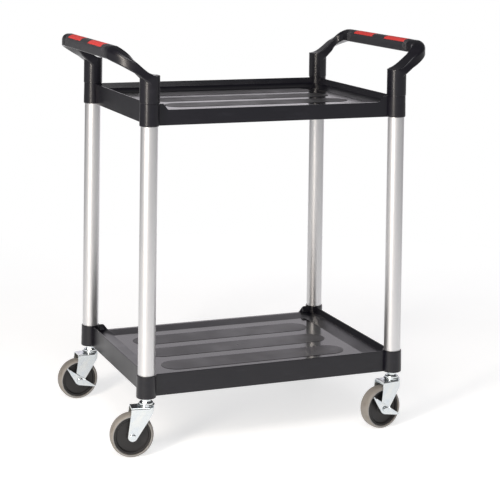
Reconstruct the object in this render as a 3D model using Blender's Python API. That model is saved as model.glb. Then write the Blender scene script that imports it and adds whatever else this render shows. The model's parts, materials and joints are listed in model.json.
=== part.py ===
"""Two-tier food service trolley: moulded trays on four tube posts, bow handles and swivel castors.

Metres, +Z up. The origin is on the floor under the middle of the trolley, +X runs along the
trays towards the right handle and +Y towards the rear. Each castor is modelled in its own frame:
local +X is the way the wheel trails, local +Y is the side that carries the brake lever.
"""

import math

import bmesh
import bpy
from mathutils import Matrix, Vector

MM = 0.001
GAP = 0.3 * MM
ROUND = 24
WHEEL_ROUND = 24
SMALL_ROUND = 16

# Frame: the four posts stand on a rectangle, and the trays' skirts lie in its sides.
POST_X = 313.7 * MM
POST_Y = 230.6 * MM
POST_R = 20.0 * MM
POST_WALL = 1.5 * MM
POST_BASE_Z = 138.3 * MM
POST_TOP_Z = 846.0 * MM
CORNERS = {
    "front_left": (-1, -1),
    "front_right": (1, -1),
    "rear_left": (-1, 1),
    "rear_right": (1, 1),
}

# Trays, measured up from the bottom of their corner collars.
TRAY_H = 52.4 * MM
LOWER_TRAY_Z = 133.2 * MM
UPPER_TRAY_Z = 754.0 * MM
SKIRT_Z = 0.3 * MM
LIP_Z = TRAY_H - 2.2 * MM
LEDGE_Z = TRAY_H - 16.0 * MM
FLOOR_Z = TRAY_H - 22.0 * MM
WALL = 3.0 * MM
LEDGE_INSET = 9.0 * MM
FLOOR_INSET = 47.0 * MM
CORNER_CUT = 10.0 * MM
FLOOR_CORNER_CUT = 16.0 * MM
COLLAR_R_TOP = 22.4 * MM
COLLAR_R_LOW = 23.0 * MM
COLLAR_EDGE = 2.0 * MM
DIP_Z = TRAY_H - 16.6 * MM
DIP_HALF_LOW = 269.0 * MM
DIP_HALF_TOP = 280.0 * MM
PAD_HALF_LENGTH = 236.0 * MM
PAD_HALF_WIDTH = 38.0 * MM
PAD_PITCH = 111.0 * MM
PAD_RISE = 0.6 * MM
RIB_THICK = 2.5 * MM
RIB_DROP = 14.0 * MM
RIB_X = (-150.0 * MM, 0.0, 150.0 * MM)
RIB_Y = (-75.0 * MM, 75.0 * MM)

# Handles: two legs on the posts, arms that sweep up and out, and a grip bar between rounded corners.
LEG_R = 23.4 * MM
LEG_BASE_Z = UPPER_TRAY_Z + TRAY_H + GAP
LEG_INNER_Z = 871.5 * MM
LEG_OUTER_Z = 863.2 * MM
BAR_X = 388.0 * MM
BAR_Z = 920.2 * MM
BAR_HALF_W = 17.0 * MM
BAR_HALF_H = 15.3 * MM
BAR_EDGE_TOP = 14.0 * MM
BAR_EDGE_LOW = 7.0 * MM
ARM_EDGE = 3.5 * MM
BEND_R = 40.0 * MM
ARM_RIBS = 9
# Shares of the way along an arm where its section changes.
ROUND_UNTIL = 0.23
NARROWED_BY = 0.75
SOFTENS_FROM = 0.5
GRIP_HALF = 170.0 * MM
GRIP_THICK = 3.0 * MM
INSERT_Y = 87.0 * MM
INSERT_SHIFT = -7.0 * MM
INSERT_HALF = 53.0 * MM
INSERT_SPAN = math.radians(60.0)
INSERT_DEPTH = 1.6 * MM
INSERT_PROUD = 0.4 * MM

# Castors.
WHEEL_R = 50.0 * MM
TRAIL = 32.6 * MM
TYRE_HALF = 16.0 * MM
TREAD_SEAT_R = 42.6 * MM
HUB_RIM_HALF = 13.5 * MM
HUB_WEB_HALF = 8.5 * MM
HUB_RIM_LOW_R = 36.6 * MM
HUB_RIM_TOP_R = 38.4 * MM
HUB_BOSS_R = 12.0 * MM
SLEEVE_R = 6.4 * MM
AXLE_R = 5.0 * MM
AXLE_HEAD_R = 6.6 * MM
AXLE_HEAD_H = 3.0 * MM
AXLE_NUT_R = 8.0 * MM
AXLE_NUT_H = 5.7 * MM
AXLE_END = 7.5 * MM
FORK_HALF = 20.0 * MM
FORK_PLATE = 2.5 * MM
FORK_FRONT = 17.0 * MM
FORK_REAR = 35.5 * MM
FORK_CORNER_R = 11.0 * MM
FORK_BLANK_REAR = FORK_REAR + 12.0 * MM
FORK_TOP_Z = 114.0 * MM
FORK_FOOT_R = 11.0 * MM
STEM_R = 5.7 * MM
KING_R = 8.0 * MM
KING_HEAD_R = 11.5 * MM
KING_HEAD_H = 4.3 * MM
CAP_R = 19.8 * MM
CAP_RIM_H = 5.0 * MM
CAP_TOP_Z = 124.0 * MM
NUT_R = 10.8 * MM
NUT_TOP_Z = 132.6 * MM
STEM_TOP_Z = 172.0 * MM
SOCKET_TOP_Z = 176.0 * MM
LEVER_HALF = 46.5 * MM
LEVER_TILT = math.radians(34.4)
LEVER_SHOULDER = 0.66 * LEVER_HALF
LEVER_FOOT_HALF = 0.9 * LEVER_HALF
LEVER_EDGE = 9.4 * MM
LEVER_APEX = 12.0 * MM
LEVER_APEX_HALF = 4.0 * MM
LEVER_PLATE = 2.0 * MM
LEVER_FLANGE = 6.0 * MM
CAM_R = 7.0 * MM
CAM_THICK = 1.5 * MM
HEADINGS = {
    "front_left": math.radians(171.4),
    "front_right": math.radians(188.0),
    "rear_left": math.radians(180.7),
    "rear_right": math.radians(174.0),
}
BRAKED = ("front_right", "rear_left")

MATERIALS = {
    "black_plastic": ((0.035, 0.035, 0.038, 1.0), 0.38, 0.0),
    "aluminium": ((0.78, 0.78, 0.80, 1.0), 0.30, 1.0),
    "soft_grey": ((0.06, 0.06, 0.07, 1.0), 0.65, 0.0),
    "red_rubber": ((0.62, 0.05, 0.05, 1.0), 0.55, 0.0),
    "zinc": ((0.80, 0.81, 0.83, 1.0), 0.18, 1.0),
    "hub_plastic": ((0.045, 0.043, 0.048, 1.0), 0.45, 0.0),
    "tyre_rubber": ((0.38, 0.36, 0.34, 1.0), 0.70, 0.0),
}


def clear_scene():
    for item in list(bpy.data.objects):
        bpy.data.objects.remove(item, do_unlink=True)


def make_material(name, colour, roughness, metallic):
    material = bpy.data.materials.new(name)
    material.use_nodes = True
    shader = material.node_tree.nodes["Principled BSDF"]
    shader.inputs["Base Color"].default_value = colour
    shader.inputs["Roughness"].default_value = roughness
    shader.inputs["Metallic"].default_value = metallic
    material.diffuse_color = colour
    return material


def circle(radius, z, count):
    """A ring of points round the Z axis, with a flat side facing each axis."""
    turns = [(i + 0.5) * math.tau / count for i in range(count)]
    return [Vector((radius * math.cos(a), radius * math.sin(a), z)) for a in turns]


def finish_mesh(bm, name):
    bmesh.ops.recalc_face_normals(bm, faces=bm.faces)
    mesh = bpy.data.meshes.new(name)
    bm.to_mesh(mesh)
    bm.free()
    mesh.shade_smooth()
    mesh.set_sharp_from_angle(angle=math.radians(35))
    return mesh


def loft(name, rings, closed=False):
    """Skin rings of equal length. The ends are capped, unless the rings run round to the start."""
    bm = bmesh.new()
    loops = [[bm.verts.new(point) for point in ring] for ring in rings]
    pairs = list(zip(loops, loops[1:]))
    if closed:
        pairs.append((loops[-1], loops[0]))
    for low, high in pairs:
        for i, corner in enumerate(low):
            j = (i + 1) % len(low)
            bm.faces.new((corner, low[j], high[j], high[i]))
    if not closed:
        bm.faces.new(loops[0])
        bm.faces.new(loops[-1])
    return finish_mesh(bm, name)


def turned(name, profile, count, closed=False):
    """A round piece about Z, from a profile of (radius, z)."""
    return loft(name, [circle(radius, z, count) for radius, z in profile], closed)


def prism(name, outline, low, high):
    """An outline of (x, y) points, extruded from one height to another."""
    rings = [[Vector((x, y, z)) for x, y in outline] for z in (low, high)]
    return loft(name, rings)


def block(name, low, high):
    outline = ((low[0], low[1]), (high[0], low[1]), (high[0], high[1]), (low[0], high[1]))
    return prism(name, outline, low[2], high[2])


def combine(mesh, tool, operation):
    """The Boolean of two meshes, as a new mesh."""
    base = bpy.data.objects.new("base", mesh)
    other = bpy.data.objects.new("tool", tool)
    for item in (base, other):
        bpy.context.scene.collection.objects.link(item)
    step = base.modifiers.new("combine", "BOOLEAN")
    step.operation = operation
    step.object = other
    graph = bpy.context.evaluated_depsgraph_get()
    result = bpy.data.meshes.new_from_object(base.evaluated_get(graph))
    for item in (base, other):
        bpy.data.objects.remove(item, do_unlink=True)
    result.name = mesh.name
    result.shade_smooth()
    result.set_sharp_from_angle(angle=math.radians(35))
    return result


def moved(mesh, matrix):
    mesh.transform(matrix)
    return mesh


def across(mesh, x=0.0, z=0.0):
    """Turn a piece made about Z so that it runs along +Y at (x, z)."""
    return moved(mesh, Matrix.Translation((x, 0, z)) @ Matrix.Rotation(-math.pi / 2, 4, "X"))


def stood_up(mesh):
    """Swap Y and Z, so that an outline drawn as (x, z) is extruded along Y."""
    moved(mesh, Matrix(((1, 0, 0, 0), (0, 0, 1, 0), (0, 1, 0, 0), (0, 0, 0, 1))))
    mesh.flip_normals()
    return mesh


def place(name, mesh, material, location=(0, 0, 0), heading=0.0, parent=None):
    item = bpy.data.objects.new(name, mesh)
    bpy.context.scene.collection.objects.link(item)
    item.parent = parent
    item.location = location
    item.rotation_euler = (0, 0, heading)
    if not mesh.materials:
        mesh.materials.append(material)
    return item


def pivot(name, location, heading=0.0, parent=None):
    empty = bpy.data.objects.new(name, None)
    bpy.context.scene.collection.objects.link(empty)
    empty.parent = parent
    empty.location = location
    empty.rotation_euler = (0, 0, heading)
    return empty


# Trays


def tray_ring(inset, z, cut):
    """A rectangle at a distance inside the skirt, with its corners cut off."""
    x = POST_X - inset
    y = POST_Y - inset
    quarter = ((x, y - cut), (x - cut, y))
    turned_back = tuple(reversed(quarter))
    ring = [(px, py) for px, py in quarter]
    ring += [(-px, py) for px, py in turned_back]
    ring += [(-px, -py) for px, py in quarter]
    ring += [(px, -py) for px, py in turned_back]
    return [Vector((px, py, z)) for px, py in ring]


def tray_pan():
    """The shell from the middle of the floor's underside, round the skirt and lip, to the floor."""
    levels = (
        (FLOOR_INSET, FLOOR_Z - WALL, FLOOR_CORNER_CUT),
        (LEDGE_INSET, LEDGE_Z - WALL, CORNER_CUT),
        (WALL + MM, LEDGE_Z - WALL, CORNER_CUT),
        (WALL, SKIRT_Z, CORNER_CUT),
        (0.0, SKIRT_Z, CORNER_CUT),
        (0.0, LIP_Z, CORNER_CUT),
        (WALL, LIP_Z, CORNER_CUT),
        (LEDGE_INSET - MM, LEDGE_Z + 0.6 * MM, CORNER_CUT),
        (LEDGE_INSET + MM, LEDGE_Z, CORNER_CUT),
        (FLOOR_INSET, FLOOR_Z, FLOOR_CORNER_CUT),
    )
    return loft("tray", [tray_ring(*level) for level in levels])


def stadium(half_length, half_width):
    """A long outline with round ends."""
    outline = []
    steps = ROUND // 4
    for side in (1, -1):
        centre = side * (half_length - half_width)
        for i in range(steps + 1):
            angle = math.pi * (i / steps - 0.5)
            across_end = half_width * math.cos(angle)
            outline.append((centre + side * across_end, side * half_width * math.sin(angle)))
    return outline


def underside_ribs():
    """Thin webs under the floor, as (low corner, high corner)."""
    reach_x = POST_X - WALL - LEDGE_INSET
    reach_y = POST_Y - WALL - LEDGE_INSET
    low = FLOOR_Z - WALL - RIB_DROP
    high = FLOOR_Z - WALL / 2
    half = RIB_THICK / 2
    across_floor = [((x - half, -reach_y, low), (x + half, reach_y, high)) for x in RIB_X]
    along_floor = [((-reach_x, y - half, low), (reach_x, y + half, high)) for y in RIB_Y]
    return across_floor + along_floor


def tray_mesh():
    """The whole moulding, in its own frame, with the lowered lip on its -Y side."""
    dip = ((-DIP_HALF_LOW, DIP_Z), (DIP_HALF_LOW, DIP_Z), (DIP_HALF_TOP, TRAY_H), (-DIP_HALF_TOP, TRAY_H))
    notch = stood_up(prism("notch", dip, -POST_Y - WALL, -POST_Y + LEDGE_INSET))
    tray = combine(tray_pan(), notch, "DIFFERENCE")
    pad_outline = stadium(PAD_HALF_LENGTH, PAD_HALF_WIDTH)
    for row in (-1, 0, 1):
        pad = prism("pad", pad_outline, FLOOR_Z - WALL / 2, FLOOR_Z + PAD_RISE)
        tray = combine(tray, moved(pad, Matrix.Translation((0, row * PAD_PITCH, 0))), "UNION")
    for low, high in underside_ribs():
        tray = combine(tray, block("rib", low, high), "UNION")
    collar_profile = (
        (COLLAR_R_LOW - COLLAR_EDGE, 0.0),
        (COLLAR_R_LOW, COLLAR_EDGE),
        (COLLAR_R_TOP, TRAY_H),
    )
    bore_profile = ((POST_R + GAP, -MM), (POST_R + GAP, TRAY_H + MM))
    for side_x, side_y in CORNERS.values():
        at_post = Matrix.Translation((side_x * POST_X, side_y * POST_Y, 0))
        collar = moved(turned("collar", collar_profile, ROUND), at_post)
        tray = combine(tray, collar, "UNION")
        bore = moved(turned("bore", bore_profile, ROUND), at_post)
        tray = combine(tray, bore, "DIFFERENCE")
    return tray


def build_trays(materials):
    mesh = tray_mesh()
    place("upper_tray", mesh, materials["black_plastic"], (0, 0, UPPER_TRAY_Z))
    place("lower_tray", mesh, materials["black_plastic"], (0, 0, LOWER_TRAY_Z), heading=math.pi)


# Posts and the plastic plugs that hold the castor stems in them


def build_posts(materials):
    inner = POST_R - POST_WALL
    post_profile = ((inner, POST_BASE_Z), (POST_R, POST_BASE_Z), (POST_R, POST_TOP_Z), (inner, POST_TOP_Z))
    post = turned("post", post_profile, ROUND, closed=True)
    bore = STEM_R + GAP
    flange_low = LOWER_TRAY_Z + 1.5 * MM
    flange_top = POST_BASE_Z - GAP
    plug_profile = (
        (bore, flange_low),
        (POST_R - GAP, flange_low),
        (POST_R - GAP, flange_top),
        (inner - GAP, flange_top),
        (inner - GAP, SOCKET_TOP_Z - MM),
        (inner - 2 * MM, SOCKET_TOP_Z),
        (bore, SOCKET_TOP_Z),
    )
    plug = turned("stem_socket", plug_profile, SMALL_ROUND, closed=True)
    for corner, (side_x, side_y) in CORNERS.items():
        spot = (side_x * POST_X, side_y * POST_Y, 0)
        place(f"post_{corner}", post, materials["aluminium"], spot)
        place(f"stem_socket_{corner}", plug, materials["hub_plastic"], spot)


# Handles


def round_rect(half_w, half_h, edge_top, edge_low):
    """(across, up) points of a rectangle with round corners. Equal values give a circle."""
    points = []
    steps = ROUND // 4
    for quarter, (side_w, side_h) in enumerate(((1, 1), (-1, 1), (-1, -1), (1, -1))):
        edge = edge_top if side_h > 0 else edge_low
        for i in range(steps):
            angle = (quarter + (i + 0.5) / steps) * math.pi / 2
            points.append(
                (
                    side_w * (half_w - edge) + edge * math.cos(angle),
                    side_h * (half_h - edge) + edge * math.sin(angle),
                )
            )
    return points


def bezier(points, t):
    u = 1 - t
    weights = (u**3, 3 * u * u * t, 3 * u * t * t, t**3)
    return sum((weight * Vector(point) for weight, point in zip(weights, points)), Vector((0, 0)))


def smooth_step(t):
    t = min(max(t, 0.0), 1.0)
    return t * t * (3 - 2 * t)


BEND_START = BAR_X - POST_X - BEND_R
BEND_LENGTH = BEND_R * math.pi / 2
ARM_REACH = BEND_START + BEND_LENGTH
ARM_TOP_CURVE = (
    (-LEG_R, LEG_INNER_Z),
    (15 * MM, 864 * MM),
    (43 * MM, BAR_Z + BAR_HALF_H - 3 * MM),
    (ARM_REACH, BAR_Z + BAR_HALF_H),
)
ARM_LOW_CURVE = (
    (LEG_R, LEG_OUTER_Z),
    (38 * MM, 881 * MM),
    (66 * MM, BAR_Z - BAR_HALF_H - MM),
    (ARM_REACH, BAR_Z - BAR_HALF_H),
)


def wrap(s, across_path, z):
    """A point at distance s along the handle's plan line from a leg's axis, for the right handle.

    The line runs out along +X, turns through a quarter circle and then follows the bar along +Y.
    across_path is the distance to the outer side of the line.
    """
    if s < BEND_START:
        return Vector((POST_X + s, -POST_Y - across_path, z))
    turn = min((s - BEND_START) / BEND_R, math.pi / 2)
    beyond = max(s - ARM_REACH, 0.0)
    reach = BEND_R + across_path
    x = POST_X + BEND_START + reach * math.sin(turn)
    y = -POST_Y + BEND_R - reach * math.cos(turn) + beyond
    return Vector((x, y, z))


def leg_ring(radius, z):
    return [wrap(-up, side, z) for side, up in round_rect(radius, radius, radius, radius)]


def arm_ring(t):
    """One rib of an arm, standing between its lower and its upper edge curve."""
    top = bezier(ARM_TOP_CURVE, t)
    low = bezier(ARM_LOW_CURVE, t)
    centre = (top + low) / 2
    up = (top - low).normalized()
    half_h = (top - low).length / 2
    squared = smooth_step(t / ROUND_UNTIL)
    half_w = LEG_R + (BAR_HALF_W - LEG_R) * smooth_step(t / NARROWED_BY)
    edge = min(half_w, half_h) * (1 - squared) + ARM_EDGE * squared
    round_in = smooth_step((t - SOFTENS_FROM) / (1 - SOFTENS_FROM))
    edge_top = edge + (BAR_EDGE_TOP - ARM_EDGE) * round_in
    edge_low = edge + (BAR_EDGE_LOW - ARM_EDGE) * round_in
    ring = []
    for side, height in round_rect(half_w, half_h, edge_top, edge_low):
        point = centre + up * height
        ring.append(wrap(point.x, side, point.y))
    return ring


def bar_section(inset):
    return round_rect(BAR_HALF_W - inset, BAR_HALF_H - inset, BAR_EDGE_TOP - inset, BAR_EDGE_LOW - inset)


def bar_ring(y, inset=0.0):
    return [Vector((BAR_X + side, y, BAR_Z + height)) for side, height in bar_section(inset)]


def handle_mesh():
    """The right handle, skinned from the socket in its front leg round to the socket in its rear leg."""
    half = [
        leg_ring(POST_R + GAP, POST_TOP_Z + GAP),
        leg_ring(POST_R + GAP, LEG_BASE_Z),
        leg_ring(LEG_R, LEG_BASE_Z),
    ]
    half += [arm_ring(i / ARM_RIBS) for i in range(ARM_RIBS + 1)]
    half += [bar_ring(-GRIP_HALF), bar_ring(-GRIP_HALF, GRIP_THICK)]
    mirror = [[Vector((p.x, -p.y, p.z)) for p in ring] for ring in reversed(half)]
    return loft("handle", half + mirror)


def insert_band(inner_inset, outer_inset, spread, low_y, high_y):
    """A strip that wraps over the top of the grip."""
    steps = 10
    outline = []
    for inset, order in ((outer_inset, 1), (inner_inset, -1)):
        edge = BAR_EDGE_TOP - inset
        for i in range(steps + 1):
            angle = order * (INSERT_SPAN + spread) * (1 - 2 * i / steps)
            shift = math.copysign(BAR_HALF_W - BAR_EDGE_TOP, angle) if i != steps / 2 else 0.0
            outline.append(
                (
                    BAR_X + shift + edge * math.sin(angle),
                    BAR_Z + BAR_HALF_H - BAR_EDGE_TOP + edge * math.cos(angle),
                )
            )
    rings = [[Vector((x, y, z)) for x, z in outline] for y in (low_y, high_y)]
    return loft("grip_insert", rings)


def build_handles(materials):
    handle = handle_mesh()
    end = GRIP_HALF - GAP
    bore = GRIP_THICK - GAP
    grip_rings = [bar_ring(-end), bar_ring(end), bar_ring(end, bore), bar_ring(-end, bore)]
    grip = loft("grip", grip_rings, closed=True)
    inserts = {}
    for place_name, side in (("front", -1), ("rear", 1)):
        low = side * INSERT_Y + INSERT_SHIFT - INSERT_HALF
        high = low + 2 * INSERT_HALF
        inserts[place_name] = insert_band(INSERT_DEPTH, -INSERT_PROUD, 0.0, low, high)
        clearance = math.atan(GAP / BAR_EDGE_TOP)
        pocket = insert_band(INSERT_DEPTH + GAP, -2 * MM, clearance, low - GAP, high + GAP)
        grip = combine(grip, pocket, "DIFFERENCE")
    for side, heading in (("right", 0.0), ("left", math.pi)):
        place(f"handle_{side}", handle, materials["black_plastic"], heading=heading)
        place(f"grip_{side}", grip, materials["soft_grey"], heading=heading)
    for end_name, opposite in (("front", "rear"), ("rear", "front")):
        place(f"grip_insert_right_{end_name}", inserts[end_name], materials["red_rubber"])
        place(f"grip_insert_left_{end_name}", inserts[opposite], materials["red_rubber"], heading=math.pi)


# Castors


def tyre_mesh():
    seat = TREAD_SEAT_R + GAP
    half_profile = (
        (seat, TYRE_HALF - 2.0 * MM),
        (seat + MM, TYRE_HALF),
        (WHEEL_R - 4.0 * MM, TYRE_HALF),
        (WHEEL_R, TYRE_HALF - 6.0 * MM),
    )
    profile = [(radius, -offset) for radius, offset in half_profile]
    profile += [(radius, offset) for radius, offset in reversed(half_profile)]
    return turned("tyre", profile, WHEEL_ROUND, closed=True)


def hub_mesh():
    bore = SLEEVE_R + GAP
    half_profile = (
        (bore, TYRE_HALF),
        (HUB_BOSS_R, TYRE_HALF),
        (HUB_BOSS_R, HUB_WEB_HALF),
        (HUB_RIM_LOW_R, HUB_WEB_HALF),
        (HUB_RIM_TOP_R, HUB_RIM_HALF),
        (TREAD_SEAT_R, HUB_RIM_HALF),
    )
    profile = [(radius, -offset) for radius, offset in half_profile]
    profile += [(radius, offset) for radius, offset in reversed(half_profile)]
    return turned("hub", profile, WHEEL_ROUND, closed=True)


def fork_plan(inset, rear):
    """The pressing seen from above: square at the rear, round corners at the front."""
    half = FORK_HALF - inset
    corner = FORK_CORNER_R - inset
    front = -FORK_FRONT + inset
    outline = [(rear, -half), (rear, half)]
    for side in (1, -1):
        steps = 4
        for i in range(steps + 1):
            angle = math.pi / 2 * (i / steps if side > 0 else 1 - i / steps)
            x = front + corner - corner * math.sin(angle)
            outline.append((x, side * (half - corner + corner * math.cos(angle))))
    return outline


def fork_side():
    """The legs seen from the side: a wedge that narrows to a round foot on the axle."""
    foot = Vector((TRAIL, WHEEL_R))
    front_corner = Vector((-FORK_FRONT - MM, FORK_TOP_Z - 6 * MM))
    rear_corner = Vector((FORK_REAR, FORK_TOP_Z + MM))
    outline = [tuple(rear_corner), (front_corner.x, rear_corner.y), tuple(front_corner)]
    start = tangent_angle(foot, front_corner, FORK_FOOT_R, 1)
    stop = tangent_angle(foot, rear_corner, FORK_FOOT_R, -1) + math.tau
    steps = 12
    for i in range(steps + 1):
        angle = start + (stop - start) * i / steps
        outline.append((foot.x + FORK_FOOT_R * math.cos(angle), foot.y + FORK_FOOT_R * math.sin(angle)))
    return outline


def tangent_angle(centre, point, radius, side):
    """The angle on a circle where a line from a point outside it touches the circle."""
    gap = point - centre
    return math.atan2(gap.y, gap.x) + side * math.acos(radius / gap.length)


def axle_drill():
    """A cutter for a hole that the axle passes through, along Y at the origin."""
    bore = AXLE_R + GAP
    return across(turned("hole", ((bore, -2 * FORK_HALF), (bore, 2 * FORK_HALF)), SMALL_ROUND))


def fork_mesh():
    outer = prism("fork", fork_plan(0.0, FORK_BLANK_REAR), MM, FORK_TOP_Z)
    inner_plan = fork_plan(FORK_PLATE, FORK_BLANK_REAR + MM)
    inner = prism("hollow", inner_plan, 0.0, FORK_TOP_Z - FORK_PLATE)
    fork = combine(outer, inner, "DIFFERENCE")
    side = stood_up(prism("side", fork_side(), -2 * FORK_HALF, 2 * FORK_HALF))
    fork = combine(fork, side, "INTERSECT")
    axle_hole = axle_drill()
    fork = combine(fork, moved(axle_hole, Matrix.Translation((TRAIL, 0, WHEEL_R))), "DIFFERENCE")
    bore = KING_R + 2 * GAP
    king_hole = turned("hole", ((bore, FORK_TOP_Z - 2 * FORK_PLATE), (bore, FORK_TOP_Z + MM)), SMALL_ROUND)
    return combine(fork, king_hole, "DIFFERENCE")


def stem_mesh():
    """Stem and kingpin in one: a riveted head under the crown and a plain stem up into the post."""
    head_top = FORK_TOP_Z - FORK_PLATE - GAP
    profile = (
        (KING_R, head_top - KING_HEAD_H),
        (KING_HEAD_R, head_top - KING_HEAD_H + MM),
        (KING_HEAD_R, head_top),
        (KING_R, head_top),
        (KING_R, CAP_TOP_Z),
        (STEM_R, CAP_TOP_Z),
        (STEM_R, STEM_TOP_Z - MM),
        (STEM_R - MM, STEM_TOP_Z),
    )
    return turned("stem", profile, SMALL_ROUND)


def cap_mesh():
    """The race housing on top of the crown."""
    low = FORK_TOP_Z + GAP
    bore = KING_R + GAP
    profile = (
        (bore, low),
        (CAP_R, low + MM),
        (CAP_R, low + CAP_RIM_H),
        (CAP_R - 2.0 * MM, CAP_TOP_Z - GAP),
        (bore, CAP_TOP_Z - GAP),
    )
    return turned("cap", profile, SMALL_ROUND, closed=True)


def nut_mesh():
    low = CAP_TOP_Z + GAP
    bore = STEM_R + GAP
    body = loft("stem_nut", [circle(NUT_R, low, 6), circle(NUT_R, NUT_TOP_Z, 6)])
    hole = turned("hole", ((bore, low - MM), (bore, NUT_TOP_Z + MM)), SMALL_ROUND)
    return combine(body, hole, "DIFFERENCE")


def axle_mesh(outer_stack):
    """A shouldered bolt. outer_stack is what it clamps outside the leg on the lever's side."""
    head = FORK_HALF + outer_stack + GAP
    profile = (
        (AXLE_R, -FORK_HALF - AXLE_END),
        (AXLE_R, head),
        (AXLE_HEAD_R, head),
        (AXLE_HEAD_R, head + AXLE_HEAD_H / 2),
        (AXLE_HEAD_R * 0.6, head + AXLE_HEAD_H),
    )
    return across(turned("axle", profile, SMALL_ROUND), x=TRAIL, z=WHEEL_R)


def axle_ring(name, radius, low, high):
    """A plain ring on the axle, between two distances along it."""
    bore = AXLE_R + GAP
    profile = ((bore, low), (radius, low), (radius, high), (bore, high))
    return across(turned(name, profile, SMALL_ROUND, closed=True), x=TRAIL, z=WHEEL_R)


def axle_nut_mesh():
    near = -FORK_HALF - GAP
    hexagon = [circle(AXLE_NUT_R, near - AXLE_NUT_H, 6), circle(AXLE_NUT_R, near, 6)]
    nut = combine(across(loft("axle_nut", hexagon)), axle_drill(), "DIFFERENCE")
    return moved(nut, Matrix.Translation((TRAIL, 0, WHEEL_R)))


def lever_outline():
    """The brake lever's wings, from its pivot: a long straight top edge and a blunt apex below."""
    right = ((LEVER_APEX_HALF, -LEVER_APEX), (LEVER_SHOULDER, 0.0), (LEVER_HALF, LEVER_EDGE))
    left = tuple((-x, z) for x, z in reversed(right))
    return left + right


def lever_mesh():
    """The lever in the swivel frame, with its origin on the axle."""
    near = FORK_HALF + GAP
    far = near + LEVER_PLATE
    plate = stood_up(prism("brake_lever", lever_outline(), near, far))
    low = (-LEVER_FOOT_HALF, far - LEVER_PLATE / 2, LEVER_EDGE - LEVER_PLATE)
    high = (LEVER_FOOT_HALF, far + LEVER_FLANGE, LEVER_EDGE - GAP)
    plate = combine(plate, block("flange", low, high), "UNION")
    plate = combine(plate, axle_drill(), "DIFFERENCE")
    return moved(plate, Matrix.Rotation(-LEVER_TILT, 4, "Y"))


def build_castors(materials):
    zinc = materials["zinc"]
    cam_low = FORK_HALF + LEVER_PLATE + 2 * GAP
    cam_high = cam_low + CAM_THICK
    sleeve_half = FORK_HALF - FORK_PLATE - GAP
    fixed = {"stem": stem_mesh(), "cap": cap_mesh(), "stem_nut": nut_mesh()}
    swivelling = {
        "fork": fork_mesh(),
        "axle_nut": axle_nut_mesh(),
        "sleeve": axle_ring("sleeve", SLEEVE_R, -sleeve_half, sleeve_half),
    }
    plain_axle = axle_mesh(0.0)
    braked_axle = axle_mesh(cam_high - FORK_HALF)
    lever = lever_mesh()
    cam = axle_ring("brake_cam", CAM_R, cam_low, cam_high)
    hub = across(hub_mesh())
    tyre = across(tyre_mesh())
    for corner, (side_x, side_y) in CORNERS.items():
        label = f"castor_{corner}"
        spot = (side_x * POST_X, side_y * POST_Y, 0)
        for piece, mesh in fixed.items():
            place(f"{label}_{piece}", mesh, zinc, spot)
        swivel = pivot(f"{label}_swivel", spot, HEADINGS[corner])
        for piece, mesh in swivelling.items():
            place(f"{label}_{piece}", mesh, zinc, parent=swivel)
        braked = corner in BRAKED
        place(f"{label}_axle", braked_axle if braked else plain_axle, zinc, parent=swivel)
        if braked:
            place(f"{label}_brake_lever", lever, zinc, (TRAIL, 0, WHEEL_R), parent=swivel)
            place(f"{label}_brake_cam", cam, zinc, parent=swivel)
        spin = pivot(f"{label}_spin", (TRAIL, 0, WHEEL_R), parent=swivel)
        place(f"{label}_hub", hub, materials["hub_plastic"], parent=spin)
        place(f"{label}_tyre", tyre, materials["tyre_rubber"], parent=spin)


def main():
    clear_scene()
    materials = {name: make_material(name, *values) for name, values in MATERIALS.items()}
    build_trays(materials)
    build_posts(materials)
    build_handles(materials)
    build_castors(materials)


main()
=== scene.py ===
"""Looks for the food service trolley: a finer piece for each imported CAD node, materials and a studio.

Metres, in the CAD's frame: the floor is z = 0, +X runs along the trays towards the right handle and
+Y towards the rear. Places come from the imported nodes' boxes and the record's joints. Each castor
is made once in its own frame, with local +X the way the wheel trails, and is set down four times.
"""

import json
import math

import bmesh
import bpy
from mathutils import Matrix, Vector


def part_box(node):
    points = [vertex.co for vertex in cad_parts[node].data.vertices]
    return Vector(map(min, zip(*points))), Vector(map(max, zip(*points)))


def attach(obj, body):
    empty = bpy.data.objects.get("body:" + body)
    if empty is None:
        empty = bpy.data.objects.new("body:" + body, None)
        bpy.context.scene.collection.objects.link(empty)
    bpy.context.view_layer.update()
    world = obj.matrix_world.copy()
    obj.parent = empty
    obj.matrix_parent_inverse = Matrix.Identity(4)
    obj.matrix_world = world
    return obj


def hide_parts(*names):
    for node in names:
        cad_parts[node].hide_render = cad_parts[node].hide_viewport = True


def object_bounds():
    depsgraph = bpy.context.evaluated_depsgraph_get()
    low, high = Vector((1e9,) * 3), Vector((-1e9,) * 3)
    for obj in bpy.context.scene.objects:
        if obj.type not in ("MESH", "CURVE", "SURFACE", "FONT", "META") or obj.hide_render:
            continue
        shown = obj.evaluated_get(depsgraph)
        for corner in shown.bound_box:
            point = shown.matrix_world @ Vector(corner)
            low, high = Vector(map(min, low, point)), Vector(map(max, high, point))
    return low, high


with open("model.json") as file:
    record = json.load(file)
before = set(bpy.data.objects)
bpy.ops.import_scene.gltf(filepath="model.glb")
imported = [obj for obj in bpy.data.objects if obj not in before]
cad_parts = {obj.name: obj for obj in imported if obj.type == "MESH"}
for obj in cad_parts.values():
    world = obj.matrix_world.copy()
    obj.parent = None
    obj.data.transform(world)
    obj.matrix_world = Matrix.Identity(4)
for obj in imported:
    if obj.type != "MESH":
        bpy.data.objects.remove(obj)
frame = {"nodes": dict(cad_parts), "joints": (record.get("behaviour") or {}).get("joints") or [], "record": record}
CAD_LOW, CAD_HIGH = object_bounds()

MM = 0.001
GAP = 0.3 * MM
CORNERS = {
    "front_left": (-1, -1),
    "front_right": (1, -1),
    "rear_left": (-1, 1),
    "rear_right": (1, 1),
}
BRAKED = ("front_right", "rear_left")

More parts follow.
